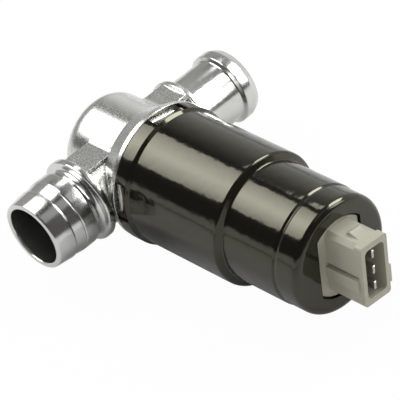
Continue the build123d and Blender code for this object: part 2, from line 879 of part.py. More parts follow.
brushes = {}
brush_springs = {}
spring_start_r = brush_tail_r + spring_gap + spring_wall / 2
spring_stop_r = box_outer_r - box_wall - spring_gap - spring_wall / 2
spring_step = (spring_stop_r - spring_start_r) / spring_folds
spring_points = []
for fold in range(spring_folds + 1):
    spring_points.append((spring_start_r + fold * spring_step, spring_swing * (-1) ** fold))
for brush_letter, angle in zip("abc", brush_angles()):
    with BuildPart() as brush:
        with BuildSketch(spoke_plane(brush_x - brush_height / 2, angle)):
            with Locations((brush_tail_r / 2, 0)):
                Rectangle(brush_tail_r, brush_width)
            Circle(brush_face_r, mode=Mode.SUBTRACT)
        extrude(amount=brush_height)
    brushes["brush_" + brush_letter] = brush.part
    with BuildPart() as brush_spring:
        with BuildSketch(spoke_plane(brush_x - spring_width / 2, angle)):
            with BuildLine():
                Polyline(spring_points)
            trace(line_width=spring_wall)
        extrude(amount=spring_width)
    brush_springs["brush_spring_" + brush_letter] = brush_spring.part

# Rear bush and its washer
with BuildPart() as rear_bush:
    with BuildSketch(across(bush_start)):
        Circle(bush_r)
        Circle(shaft_r + bush_running_gap, mode=Mode.SUBTRACT)
    extrude(amount=bush_stop - bush_start)

with BuildPart() as thrust_washer:
    with BuildSketch(across(bush_start - washer_gap - washer_wall)):
        Circle(washer_r)
        Circle(shaft_r + washer_gap, mode=Mode.SUBTRACT)
    extrude(amount=washer_wall)

# Flat contact blades with the tails that reach the brush holder
blades = {}
blade_heights = {"blade_upper": blade_pitch, "blade_lower": -blade_pitch}
for blade_name, blade_v in blade_heights.items():
    outward = blade_v / blade_pitch
    tail_v = outward * blade_tail_reach
    with BuildPart() as blade:
        with BuildSketch(plug_side(0)):
            with Locations(((blade_root + blade_tip) / 2, blade_v)):
                Rectangle(blade_tip - blade_root, blade_width)
            with Locations((blade_root + blade_tail_width / 2, (blade_v + tail_v) / 2)):
                Rectangle(blade_tail_width, abs(tail_v - blade_v))
            with Locations(((blade_root + holder_stop) / 2, tail_v - outward * blade_tail_width / 2)):
                Rectangle(blade_root - holder_stop, blade_tail_width)
        extrude(amount=blade_wall / 2, both=True)
        blade_tip_edges = blade.faces().sort_by(Axis.X)[-1].edges()
        chamfer(blade_tip_edges, blade_point)
    blades[blade_name] = blade.part

with BuildPart() as blade:
    with BuildSketch(plug_side(0)):
        with Locations(((blade_root + blade_tip) / 2, 0)):
            Rectangle(blade_tip - blade_root, blade_width)
    extrude(amount=blade_wall / 2, both=True)
    with BuildSketch(plug_plane(blade_root, plug_rise)):
        with Locations((blade_tail_reach / 2, 0)):
            Rectangle(blade_tail_reach, blade_width)
    extrude(amount=blade_wall)
    with BuildSketch(plug_plane(holder_stop, plug_rise)):
        with Locations((blade_tail_reach - blade_wall / 2, 0)):
            Rectangle(blade_wall, blade_width)
    extrude(amount=blade_root - holder_stop)
    chamfer(blade.faces().sort_by(Axis.X)[-1].edges(), blade_point)
blades["blade_middle"] = blade.part

# Plug housing: moulded round the blades
with BuildPart() as plug_housing:
    with BuildSketch(across(disc_start)):
        Circle(disc_r)
    extrude(amount=disc_stop - disc_start)
    with BuildSketch(across(holder_stop + skirt_gap)):
        Circle(disc_r)
        Circle(disc_r - skirt_wall, mode=Mode.SUBTRACT)
    extrude(amount=disc_start - holder_stop - skirt_gap)
    with BuildSketch(across(bush_start)):
        Circle(disc_boss_r)
    extrude(amount=disc_start - bush_start)
    with BuildSketch(across(bush_start)):
        Circle(bush_r)
    extrude(amount=bush_stop - bush_start, mode=Mode.SUBTRACT)
    # Groove of the sealing cord
    with BuildSketch(across(plug_seal_x - seal_groove / 2)):
        Circle(tail_bore_r)
        Circle(tail_bore_r - 2 * (seal_cord_r + seal_squeeze), mode=Mode.SUBTRACT)
    extrude(amount=seal_groove, mode=Mode.SUBTRACT)
    # Plinth in the window of the can, round with two flats
    with BuildSketch(plug_plane(disc_stop, 0)):
        Circle(plinth_r)
        Rectangle(2 * plinth_half, 2 * plinth_r, mode=Mode.INTERSECT)
    extrude(amount=plinth_stop - disc_stop)
    # Box and its socket
    with BuildSketch(plug_plane(disc_stop, plug_rise)):
        RectangleRounded(box_width, box_height, box_round)
    extrude(amount=plug_stop - disc_stop)
    with BuildSketch(plug_plane(plug_stop - socket_depth, plug_rise)):
        RectangleRounded(socket_width, socket_height, socket_round)
    extrude(amount=socket_depth, mode=Mode.SUBTRACT)
    # Bevels along both upper edges, which stop short of the mouth
    with BuildSketch(plug_plane(plinth_stop, plug_rise)):
        with Locations((box_width / 2, box_height / 2), (-box_width / 2, box_height / 2)):
            Rectangle(bevel_side, bevel_side, rotation=edge_bevel_turn)
    extrude(amount=bevel_stop - plinth_stop, mode=Mode.SUBTRACT)
    # Catches for the wire clip, on both narrow sides
    for side in (1, -1):
        with BuildSketch(plug_side(0)):
            with BuildLine():
                Polyline(
                    (catch_start, side * (box_height / 2 - catch_height)),
                    (catch_start, side * (box_height / 2 + catch_height / 2)),
                    (catch_top, side * (box_height / 2 + catch_height)),
                    (catch_stop, side * box_height / 2),
                    (catch_stop, side * (box_height / 2 - catch_height)),
                    close=True,
                )
            make_face()
        extrude(amount=catch_width / 2, both=True)
    # Keying rails on both broad sides, with a groove above the near one
    with BuildSketch(plug_side(-box_width / 2)):
        with Locations(((plinth_stop + rail_stop) / 2, rail_top - rail_height / 2)):
            Rectangle(rail_stop - plinth_stop, rail_height)
    extrude(amount=rail_out)
    with BuildSketch(plug_side(-box_width / 2)):
        with Locations(((plinth_stop + rail_stop) / 2, rail_top + key_groove / 2)):
            Rectangle(rail_stop - plinth_stop, key_groove)
    extrude(amount=-key_depth, mode=Mode.SUBTRACT)
    with BuildSketch(plug_side(box_width / 2)):
        with Locations(((plinth_stop + plug_stop) / 2, rail_top - far_rail_height / 2)):
            Rectangle(plug_stop - plinth_stop, far_rail_height)
    extrude(amount=-rail_out)
    for blade_part in blades.values():
        add(blade_part, mode=Mode.SUBTRACT)

with BuildPart() as plug_seal:
    with BuildSketch(Plane.XY):
        with Locations((station(plug_seal_x), tail_bore_r - seal_cord_r - seal_squeeze)):
            Circle(seal_cord_r)
    revolve(axis=Axis.X)

# Every piece with its name
pieces = {
    "valve_body": valve_body.part,
    "bearing_plate": bearing_plate.part,
    "stop_pin": stop_pin.part,
    "plate_seal": plate_seal.part,
    "shaft_seal": shaft_seal.part,
    "bearing_outer_race": bearing_outer_race.part,
    "bearing_inner_race": bearing_inner_race.part,
    "bearing_balls": bearing_balls.part,
    "rotor_shaft": rotor_shaft.part,
    "retaining_ring": retaining_ring.part,
    "rotary_slide": rotary_slide.part,
    "armature_core": armature_core.part,
    "contact_drum": contact_drum.part,
    "slip_contacts": slip_contacts.part,
    "motor_can": motor_can.part,
    "brush_holder": brush_holder.part,
    "rear_bush": rear_bush.part,
    "thrust_washer": thrust_washer.part,
    "plug_housing": plug_housing.part,
    "plug_seal": plug_seal.part,
}
for group in (windings, magnets, magnet_clips, brushes, brush_springs, blades):
    pieces.update(group)

os.makedirs("parts", exist_ok=True)
for piece_name, piece in pieces.items():
    piece.label = piece_name
    export_step(piece, "parts/" + piece_name + ".step")
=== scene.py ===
import bmesh
import bpy
import numpy as np
from mathutils import Matrix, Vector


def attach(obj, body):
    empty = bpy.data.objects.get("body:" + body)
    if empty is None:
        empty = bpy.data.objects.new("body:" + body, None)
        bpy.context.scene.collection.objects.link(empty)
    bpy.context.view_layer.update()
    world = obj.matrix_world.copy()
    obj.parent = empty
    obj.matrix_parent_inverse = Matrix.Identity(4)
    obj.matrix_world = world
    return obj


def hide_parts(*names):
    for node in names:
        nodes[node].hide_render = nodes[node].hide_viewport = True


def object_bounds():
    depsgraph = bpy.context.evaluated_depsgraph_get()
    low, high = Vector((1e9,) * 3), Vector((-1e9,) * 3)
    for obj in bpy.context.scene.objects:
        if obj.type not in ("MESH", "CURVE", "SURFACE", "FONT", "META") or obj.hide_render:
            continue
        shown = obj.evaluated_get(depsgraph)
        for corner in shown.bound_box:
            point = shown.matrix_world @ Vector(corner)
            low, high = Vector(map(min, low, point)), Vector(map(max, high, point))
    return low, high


# Idle air control valve, in metres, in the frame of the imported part:
# +X along the motor axis to the plug, +Y along the hose nipples, +Z up.
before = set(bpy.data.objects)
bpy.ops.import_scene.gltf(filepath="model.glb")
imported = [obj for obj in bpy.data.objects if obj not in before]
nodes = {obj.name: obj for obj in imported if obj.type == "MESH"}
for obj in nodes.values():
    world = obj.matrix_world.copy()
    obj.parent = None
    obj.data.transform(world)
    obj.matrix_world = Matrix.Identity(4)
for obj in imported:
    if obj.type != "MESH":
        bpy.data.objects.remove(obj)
cad_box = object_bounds()
mm = 0.001


# Camera
# A long lens that looks along the photograph's line of sight, rolled as the photograph is.
# The picture is 400 x 400, so the focal length in pixels gives the lens on a 36 mm sensor.
def placed(across, along, back, place):
    """Matrix whose columns are an object's own X, Y and Z directions and its place in metres."""
    rows = np.column_stack([across, along, back, place])
    return Matrix([list(row) for row in rows] + [[0.0, 0.0, 0.0, 1.0]])


camera_target = np.array([-4.419, -3.891, 0.0]) * mm
camera_distance = 761.258 * mm
focal_pixels = 2797.4
picture_pixels = 400.0
sensor_mm = 36.0
camera_back = np.array([0.6242, -0.4641, 0.6285])
camera_right = np.array([0.7005, 0.6886, -0.1875])
camera_back = camera_back / np.linalg.norm(camera_back)
camera_up = np.cross(camera_back, camera_right)
camera_up = camera_up / np.linalg.norm(camera_up)
camera_right = np.cross(camera_up, camera_back)
camera_place = camera_target + camera_back * camera_distance
camera_data = bpy.data.cameras.new("camera")
camera_data.lens = focal_pixels * sensor_mm / picture_pixels
camera_data.sensor_width = sensor_mm
camera_data.clip_start = 0.05
camera_data.clip_end = 20.0
camera = bpy.data.objects.new("camera", camera_data)
camera.matrix_world = placed(camera_right, camera_up, camera_back, camera_place)
bpy.context.scene.collection.objects.link(camera)
bpy.context.scene.camera = camera
bpy.context.scene.view_settings.view_transform = "Standard"


# Lamps
# A large softbox stands up and to the left, brighter in its middle, and its edges show in the black paint.
# One lamp behind and one to the right light the rest, and one fills the socket without being mirrored.
# The glows and shines add light only to what paint and metal mirror.
def linear(code):
    """Linear colour of an sRGB hex code, each channel raised by the sRGB curve."""
    value = np.array([int(code[i:i + 2], 16) for i in (0, 2, 4)]) / 255.0
    curve = np.where(value <= 0.04045, value / 12.92, ((value + 0.055) / 1.055) ** 2.4)
    return (float(curve[0]), float(curve[1]), float(curve[2]), 1.0)


def softbox(name, place_mm, plane, size_mm, watts, diffuse=True, glossy=True):
    """Rectangular lamp with a size across and along the two directions of its plane.
    Its back is their cross product, and it shines the other way."""
    across, along = plane
    back = np.cross(across, along)
    back = back / np.linalg.norm(back)
    along = along / np.linalg.norm(along)
    lamp_data = bpy.data.lights.new(name, "AREA")
    lamp_data.shape = "RECTANGLE"
    lamp_data.size = size_mm[0] * mm
    lamp_data.size_y = size_mm[1] * mm
    lamp_data.energy = watts
    lamp = bpy.data.objects.new(name, lamp_data)
    lamp.matrix_world = placed(np.cross(along, back), along, back, np.array(place_mm) * mm)
    lamp.visible_camera = False
    lamp.visible_diffuse = diffuse
    lamp.visible_glossy = glossy
    bpy.context.scene.collection.objects.link(lamp)


x_axis, y_axis, z_axis = np.eye(3)
left_plane = (np.array([0.904, 0.0, 0.427]), np.array([-0.008, 0.98, 0.198]))
back_plane = (x_axis, np.array([0.0, 0.78, -0.62]))
right_plane = (y_axis, z_axis)
top_plane = (x_axis, y_axis)
left_width_mm = 330.0
glow_lengths_mm = (330.0, 276.0, 222.0, 168.0, 114.0, 60.0)
glow_watts_per_mm = 0.00052
glow_step_mm = 4.0
back_size_mm = (285.0, 256.0)
softbox("left_key", (-225.0, -106.0, 366.0), left_plane, (left_width_mm, 395.0), 1.40)
for number, length_mm in enumerate(glow_lengths_mm):
    softbox("left_glow_%d" % (number + 1), (-225.0, -103.0, 362.0 - glow_step_mm * number), left_plane,
            (left_width_mm, length_mm), glow_watts_per_mm * length_mm, diffuse=False)
softbox("back_lamp", (160.0, 378.0, 375.0), back_plane, back_size_mm, 1.60)
softbox("back_glow", (160.0, 375.5, 371.9), back_plane, back_size_mm, 1.00, diffuse=False)
softbox("right_lamp", (400.0, 368.0, 245.0), right_plane, (200.0, 250.0), 0.80)
softbox("socket_fill", (420.0, -190.0, 90.0), right_plane, (200.0, 200.0), 0.24, glossy=False)
softbox("land_shine", (-225.0, 200.0, 406.0), top_plane, (120.0, 72.0), 0.10, diffuse=False)
softbox("top_shine", (165.0, 50.0, 380.0), top_plane, (220.0, 180.0), 0.04, diffuse=False)


# Room
# Metal and paint mirror a white table below, a dark room in front and to the right, and grey walls
# behind and to the left. The camera sees plain white, and pale surfaces get an even grey light.
def add(tree, kind, inputs=None, **values):
    """Adds one node: values set its properties or inputs by name, and inputs gives a socket to join
    or a fixed value for each input by its name or number."""
    node = tree.nodes.new(kind)
    for name, value in values.items():
        if hasattr(node, name):
            setattr(node, name, value)
        else:
            node.inputs[name.replace("_", " ")].default_value = value
    for name, value in (inputs or {}).items():
        if isinstance(value, bpy.types.NodeSocket):
            tree.links.new(value, node.inputs[name])
        else:
            node.inputs[name].default_value = value
    return node


photo_up = (0.0, 0.2622, 0.9650)
room_white = (0.95, 0.95, 0.94, 1.0)
wall_top = (0.60, 0.60, 0.59, 1.0)
front_dark = (0.035, 0.034, 0.033, 1.0)
right_dark = (0.09, 0.088, 0.085, 1.0)
left_grey = (0.36, 0.358, 0.35, 1.0)
even_grey = (0.62, 0.62, 0.62, 1.0)
plain_white = (1.0, 1.0, 1.0, 1.0)
world = bpy.data.worlds.new("room")
bpy.context.scene.world = world
world.use_nodes = True
room = world.node_tree
room.nodes.clear()
room_direction = add(room, "ShaderNodeTexCoord").outputs["Generated"]
height = add(room, "ShaderNodeVectorMath", {0: room_direction, 1: photo_up}, operation="DOT_PRODUCT")
parts = add(room, "ShaderNodeSeparateXYZ", {0: room_direction})
table_edge = add(room, "ShaderNodeMapRange", {0: height.outputs["Value"], 1: -0.10, 2: -0.03})
wall_height = add(room, "ShaderNodeMapRange", {0: height.outputs["Value"], 1: 0.15, 2: 0.85})
back_side = add(room, "ShaderNodeMapRange", {0: parts.outputs["Y"], 1: 0.30, 2: 0.70})
right_side = add(room, "ShaderNodeMapRange", {0: parts.outputs["X"], 1: 0.55, 2: 0.85})
left_side = add(room, "ShaderNodeMapRange", {0: parts.outputs["X"], 1: -0.72, 2: -0.84})
back_wall = add(room, "ShaderNodeMix", {0: wall_height.outputs[0], 6: room_white, 7: wall_top},
                data_type="RGBA")
walls = add(room, "ShaderNodeMix", {0: back_side.outputs[0], 6: front_dark, 7: back_wall.outputs[2]},
            data_type="RGBA")
walls = add(room, "ShaderNodeMix", {0: right_side.outputs[0], 6: walls.outputs[2], 7: right_dark},
            data_type="RGBA")
walls = add(room, "ShaderNodeMix", {0: left_side.outputs[0], 6: walls.outputs[2], 7: left_grey},
            data_type="RGBA")
mirrored = add(room, "ShaderNodeMix", {0: table_edge.outputs[0], 6: room_white, 7: walls.outputs[2]},
               data_type="RGBA")
path = add(room, "ShaderNodeLightPath")
even = add(room, "ShaderNodeBackground", Color=even_grey, Strength=1.0)
shine = add(room, "ShaderNodeBackground", {"Color": mirrored.outputs[2]}, Strength=1.0)
white = add(room, "ShaderNodeBackground", Color=plain_white, Strength=1.0)
lit = add(room, "ShaderNodeMixShader",
          {0: path.outputs["Is Glossy Ray"], 1: even.outputs[0], 2: shine.outputs[0]})
seen = add(room, "ShaderNodeMixShader",
           {0: path.outputs["Is Camera Ray"], 1: lit.outputs[0], 2: white.outputs[0]})
add(room, "ShaderNodeOutputWorld", {"Surface": seen.outputs[0]})


# Table
# A plain white top under the valve, which touches it with the band of the can.
# To the camera most of its white is its own, so it stays white and keeps a faint shadow.
def start_material(name):
    """New material with an empty node tree, and the tree."""
    made = bpy.data.materials.new(name)
    made.use_nodes = True
    made.node_tree.nodes.clear()
    return made, made.node_tree


table_z = float(cad_box[0][2])
table_half = 1.5
own_white = 0.97
table_mesh = bpy.data.meshes.new("table")
table_mesh.from_pydata(
    [(-table_half, -table_half, table_z), (table_half, -table_half, table_z),
     (table_half, table_half, table_z), (-table_half, table_half, table_z)], [], [(0, 1, 2, 3)])
table = bpy.data.objects.new("table", table_mesh)
bpy.context.scene.collection.objects.link(table)
table_white, tree = start_material("white_table")
table_path = add(tree, "ShaderNodeLightPath")
table_lit = add(tree, "ShaderNodeBsdfDiffuse", Color=even_grey)
table_glow = add(tree, "ShaderNodeEmission", Color=plain_white, Strength=1.0)
table_share = add(tree, "ShaderNodeMath", {0: table_path.outputs["Is Camera Ray"], 1: own_white},
                  operation="MULTIPLY")
table_mix = add(tree, "ShaderNodeMixShader",
                {0: table_share.outputs[0], 1: table_lit.outputs[0], 2: table_glow.outputs[0]})
add(tree, "ShaderNodeOutputMaterial", {"Surface": table_mix.outputs[0]})
table.data.materials.append(table_white)


# Valve body
# One die casting of aluminium: round chamber, flange with its lip, two arms with flats.
# The nipples, the lip and the seat of the bearing plate are turned on it afterwards.
def rounded(corners, steps):
    """Profile with rounded corners: each (x, r, radius) corner becomes an arc that touches both sides."""
    line = []
    count = len(corners)
    for index, (x, r, radius) in enumerate(corners):
        point = np.array([x, r])
        if radius == 0.0 or index in (0, count - 1):
            line.append(point[None, :])
            continue
        into = np.array(corners[index - 1][:2]) - point
        away = np.array(corners[index + 1][:2]) - point
        into = into / np.linalg.norm(into)
        away = away / np.linalg.norm(away)
        half = np.arccos(np.clip(np.dot(into, away), -1.0, 1.0)) / 2.0
        middle = (into + away) / np.linalg.norm(into + away)
        centre = point + middle * radius / np.sin(half)
        start = point + into * radius / np.tan(half) - centre
        stop = point + away * radius / np.tan(half) - centre
        sweep = np.arctan2(start[0] * stop[1] - start[1] * stop[0], np.dot(start, stop))
        turn = np.linspace(0.0, 1.0, steps + 1) * sweep
        arc_x = start[0] * np.cos(turn) - start[1] * np.sin(turn)
        arc_r = start[0] * np.sin(turn) + start[1] * np.cos(turn)
        line.append(centre + np.column_stack([arc_x, arc_r]))
    return np.concatenate(line)


def turned(profile, turns, axis="X"):
    """Grid of a turned solid: (s, r cos a, r sin a) about X, or (r sin a, s, r cos a) about Y."""
    angle = np.linspace(0.0, 2.0 * np.pi, turns, endpoint=False)
    s = np.repeat(profile[:, :1], turns, axis=1)
    across = profile[:, 1:] * np.cos(angle)
    over = profile[:, 1:] * np.sin(angle)
    order = (s, across, over) if axis == "X" else (over, s, across)
    return np.stack(order, axis=2)


def grid_faces(rows, columns, closed):
    """Quads between neighbouring grid points, wrapped over the columns, and over the rows if closed."""
    row = np.arange(rows if closed else rows - 1)[:, None]
    column = np.arange(columns)[None, :]
    after = (row + 1) % rows
    beside = (column + 1) % columns
    quads = np.stack([row * columns + column, row * columns + beside,
                      after * columns + beside, after * columns + column], axis=2)
    return [tuple(quad) for quad in quads.reshape(-1, 4).tolist()]


def outward(mesh):
    """Turns every face of a closed mesh outwards, after its doubled points are merged."""
    form = bmesh.new()
    form.from_mesh(mesh)
    bmesh.ops.remove_doubles(form, verts=form.verts, dist=1e-7)
    bmesh.ops.recalc_face_normals(form, faces=form.faces)
    form.to_mesh(mesh)
    form.free()


def solid(name, grid, closed=False):
    """Object from a grid in millimetres: quads over it, and a flat cap on each open end row."""
    rows, columns = grid.shape[:2]
    faces = grid_faces(rows, columns, closed)
    if not closed:
        faces.append(tuple(range(columns))[::-1])
        faces.append(tuple(range((rows - 1) * columns, rows * columns)))
    mesh = bpy.data.meshes.new(name)
    mesh.from_pydata((grid.reshape(-1, 3) * mm).tolist(), [], faces)
    made = bpy.data.objects.new(name, mesh)
    bpy.context.scene.collection.objects.link(made)
    outward(mesh)
    return made


def block(name, low, high):
    """Closed box between two corners in millimetres."""
    x0, y0, z0 = low
    x1, y1, z1 = high
    ring = np.array([(x0, y0), (x1, y0), (x1, y1), (x0, y1)])
    return solid(name, np.stack([np.column_stack([ring, np.full(4, z)]) for z in (z0, z1)]))


def crimp_blocks(name, low, high):
    """One closed box for each crimp, turned about the motor axis by the crimp's angle."""
    blocks = []
    for crimp_turn in crimp_angles:
        box = block(name, low, high)
        box.data.transform(Matrix.Rotation(float(crimp_turn), 4, "X"))
        blocks.append(box)
    return blocks


def cut(base, tools, operation):
    """Joins or cuts solids in turn with exact Boolean modifiers, applies them, and removes the tools."""
    for tool in tools:
        step = base.modifiers.new("step", "BOOLEAN")
        step.operation = operation
        step.solver = "EXACT"
        step.object = tool
    graph = bpy.context.evaluated_depsgraph_get()
    mesh = bpy.data.meshes.new_from_object(base.evaluated_get(graph))
    base.modifiers.clear()
    base.data = mesh
    for tool in tools:
        bpy.data.objects.remove(tool)


def shade(piece, degrees):
    """Smooth shading that stays sharp where two faces meet at more than an angle."""
    piece.data.polygons.foreach_set("use_smooth", np.ones(len(piece.data.polygons), dtype=bool))
    piece.data.set_sharp_from_angle(angle=np.radians(degrees))


# Profiles start and stop this near their axis, where a flat cap closes them
axis_r = 0.02
nipple_x = -33.8
chamber_r = 15.2
lip_back = -21.4
spigot_r = 19.0
body_turns = 192
body_profile = rounded([
    (-48.8, axis_r, 0.0), (-48.8, chamber_r, 5.2), (-28.8, chamber_r, 0.7), (-28.8, 17.05, 0.8),
    (-23.1, 19.35, 0.15), (-23.1, 20.05, 0.4), (lip_back, 20.05, 0.1), (lip_back, spigot_r, 0.0),
    (-16.9, spigot_r, 0.0), (-16.9, axis_r, 0.0)], steps=10)
body = solid("body_casting", turned(body_profile, body_turns))

# Arms: one round bar through the chamber, from the near collar to the far one
near_reach = 20.8
far_reach = 18.6
neck_r = 10.6
arm_points = 160
arm_angle = np.linspace(0.0, 2.0 * np.pi, arm_points, endpoint=False)
arm_x = nipple_x + neck_r * np.sin(arm_angle)
arm_z = neck_r * np.cos(arm_angle)
arm_grid = np.stack([np.column_stack([arm_x, np.full(arm_points, y), arm_z])
                     for y in (-near_reach, far_reach)])
arm = solid("arm", arm_grid)

# Flats of the arms, each with a fillet against the chamber
flat_half_width = 4.65
flat_height = 11.0
flat_foot = 5.0
flat_root_y = 8.0
flat_root_z = 11.5
flat_fillet = 3.0
fillet_points = 12
fillet_z = flat_height + flat_fillet
fillet_y = np.sqrt((chamber_r + flat_fillet) ** 2 - fillet_z ** 2)
fillet_start = np.arctan2(-fillet_z, -fillet_y)
fillet_turn = np.linspace(-np.pi / 2.0, fillet_start, fillet_points)
fillet_line = np.column_stack([fillet_y + flat_fillet * np.cos(fillet_turn),
                               fillet_z + flat_fillet * np.sin(fillet_turn)])
flats = []
for side_name, side, reach in (("near", -1.0, near_reach), ("far", 1.0, far_reach)):
    outline = np.concatenate([[(reach, flat_foot), (reach, flat_height)], fillet_line,
                              [(flat_root_y, flat_root_z), (flat_root_y, flat_foot)]])
    for face_name, face in (("upper", 1.0), ("lower", -1.0)):
        flat_grid = np.stack([np.column_stack([np.full(len(outline), nipple_x + x), side * outline[:, 0],
                                               face * outline[:, 1]])
                              for x in (-flat_half_width, flat_half_width)])
        flats.append(solid("flat_" + side_name + "_" + face_name, flat_grid))
web_reach = 15.6
web_half_height = 6.5
web = block("web", (nipple_x, -web_reach, -web_half_height), (-27.3, web_reach, web_half_height))

# Nipples: collar, groove, land and two barbs on the near one, and collar, neck and one barb on the far one
near_profile = rounded([
    (-20.6, axis_r, 0.0), (-20.6, 12.7, 0.5), (-22.8, 12.7, 0.5), (-23.2, 10.3, 1.2), (-25.2, 10.3, 1.2),
    (-26.2, 11.4, 0.5), (-30.35, 11.4, 0.12), (-30.35, 11.05, 0.0), (-30.7, 11.38, 0.12),
    (-33.95, 10.75, 0.0), (-34.3, 11.1, 0.12), (-40.1, 10.4, 0.5), (-40.1, axis_r, 0.0)], steps=6)
far_profile = rounded([
    (18.4, axis_r, 0.0), (18.4, 12.0, 0.5), (20.2, 12.0, 0.5), (20.6, 9.9, 0.8), (33.6, 9.9, 0.5),
    (34.3, 11.1, 0.2), (37.3, 11.1, 0.8), (39.4, 10.2, 0.5), (39.4, axis_r, 0.0)], steps=6)
nipples = []
for nipple_name, profile in (("near", near_profile), ("far", far_profile)):
    nipple_grid = turned(profile, body_turns, "Y")
    nipple_grid[:, :, 0] += nipple_x
    nipples.append(solid("nipple_" + nipple_name, nipple_grid))
cut(body, [arm, web] + flats + nipples, "UNION")

# Inside: the chamber with the seat of the bearing plate, the bores, and the pockets for the crimps
chamber_bore_r = 12.4
plate_seat_r = 16.0
past_spigot = -16.0
bore_r = 8.8
bore_mouth_r = 9.6
port_r = 6.5
port_end = 13.6
inside_turns = 128
crimp_angles = np.radians([80.0, 170.0, 260.0, 350.0])
crimp_half_width = 5.8
past_band = 22.0
chamber_profile = np.array([
    (-45.6, axis_r), (-45.6, chamber_bore_r), (-21.8, chamber_bore_r), (-21.8, plate_seat_r),
    (past_spigot, plate_seat_r), (past_spigot, axis_r)])
chamber = solid("chamber", turned(chamber_profile, inside_turns))
bore_profile = rounded([
    (-41.0, axis_r, 0.0), (-41.0, bore_mouth_r, 0.0), (-39.9, 8.9, 0.3), (-39.0, bore_r, 0.0),
    (-port_end, bore_r, 0.0), (-port_end, port_r, 0.0), (port_end, port_r, 0.0), (port_end, bore_r, 0.0),
    (38.5, bore_r, 0.0), (39.2, 8.9, 0.3), (40.2, bore_mouth_r, 0.0), (40.2, axis_r, 0.0)], steps=4)
bore_grid = turned(bore_profile, inside_turns, "Y")
bore_grid[:, :, 0] += nipple_x
bore = solid("bore", bore_grid)
pockets = crimp_blocks("pocket", (lip_back, 17.5, -crimp_half_width),
                       (past_spigot, past_band, crimp_half_width))
cut(body, [chamber, bore] + pockets, "DIFFERENCE")
outward(body.data)
shade(body, degrees=32.0)
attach(body, "housing")
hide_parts("valve_body")

# Finish of the casting: aluminium alloy, die cast and then tumbled bright, so it mirrors the room a little
# unevenly. Past the collars it is turned, which leaves fine rings that draw each reflection out along
# the nipple.
cast_bright = "E2E2DF"
cast_dull = "C9C9C5"
cast_rough = (0.20, 0.31)
turned_rough_change = -0.07
cast_grain_mm = 0.35
cast_wave_mm = 4.0
cast_edge_mm = 0.4
ring_pitch_mm = 0.45
ring_stretch = (0.04, 1.0, 0.04)
turned_from = 20.6 * mm


def per_metre(size_mm):
    """Texture scale that makes one feature as large as a size in millimetres."""
    return 1.0 / (size_mm * mm)


cast_aluminium, tree = start_material("tumbled_cast_aluminium")
place = add(tree, "ShaderNodeTexCoord").outputs["Object"]
grain = add(tree, "ShaderNodeTexNoise", {"Vector": place}, Scale=per_metre(cast_grain_mm), Detail=2.0,
            Roughness=0.6)
wave = add(tree, "ShaderNodeTexNoise", {"Vector": place}, Scale=per_metre(cast_wave_mm), Detail=2.0,
           Roughness=0.5)
along = add(tree, "ShaderNodeSeparateXYZ", {0: place})
reach = add(tree, "ShaderNodeMath", {0: along.outputs["Y"]}, operation="ABSOLUTE")
machined = add(tree, "ShaderNodeMath", {0: reach.outputs[0], 1: turned_from}, operation="GREATER_THAN")
stretch = add(tree, "ShaderNodeVectorMath", {0: place, 1: ring_stretch}, operation="MULTIPLY")
rings = add(tree, "ShaderNodeTexNoise", {"Vector": stretch.outputs[0]}, Scale=per_metre(ring_pitch_mm),
            Detail=2.0, Roughness=0.7)
relief = add(tree, "ShaderNodeMix", {0: machined.outputs[0], 2: grain.outputs[0], 3: rings.outputs[0]},
             data_type="FLOAT")
tint = add(tree, "ShaderNodeMix", {0: wave.outputs[0], 6: linear(cast_bright), 7: linear(cast_dull)},
           data_type="RGBA")
gloss = add(tree, "ShaderNodeMapRange",
            {0: grain.outputs[0], 1: 0.3, 2: 0.7, 3: cast_rough[0], 4: cast_rough[1]})
smoother = add(tree, "ShaderNodeMath", {0: machined.outputs[0], 1: turned_rough_change, 2: gloss.outputs[0]},
               operation="MULTIPLY_ADD")
soft_edge = add(tree, "ShaderNodeBevel", samples=6, Radius=cast_edge_mm * mm)
swell = add(tree, "ShaderNodeBump", {"Height": wave.outputs[0], "Normal": soft_edge.outputs[0]},
            Strength=0.25, Distance=0.10 * mm)
skin = add(tree, "ShaderNodeBump", {"Height": relief.outputs[0], "Normal": swell.outputs[0]},
           Strength=0.14, Distance=0.014 * mm)
metal = add(tree, "ShaderNodeBsdfPrincipled",
            {"Base Color": tint.outputs[2], "Roughness": smoother.outputs[0], "Normal": skin.outputs[0]},
            Metallic=1.0)
add(tree, "ShaderNodeOutputMaterial", {"Surface": metal.outputs[0]})
body.data.materials.clear()
body.data.materials.append(cast_aluminium)


# Motor can
# Deep drawn steel, painted glossy black: a band over the casting, a barrel, a step, a bead and the end.
# Four windows in the band show the casting, and a tongue from the can is bent into each.
def resampled(profile, longest):
    """Profile with extra points, so that no stretch is longer than a limit in millimetres."""
    pieces = []
    for start, stop in zip(profile[:-1], profile[1:]):
        count = max(1, int(np.ceil(np.linalg.norm(stop - start) / longest)))
        share = np.linspace(0.0, 1.0, count, endpoint=False)[:, None]
        pieces.append(start + (stop - start) * share)
    pieces.append(profile[-1:])
    return np.concatenate(pieces)


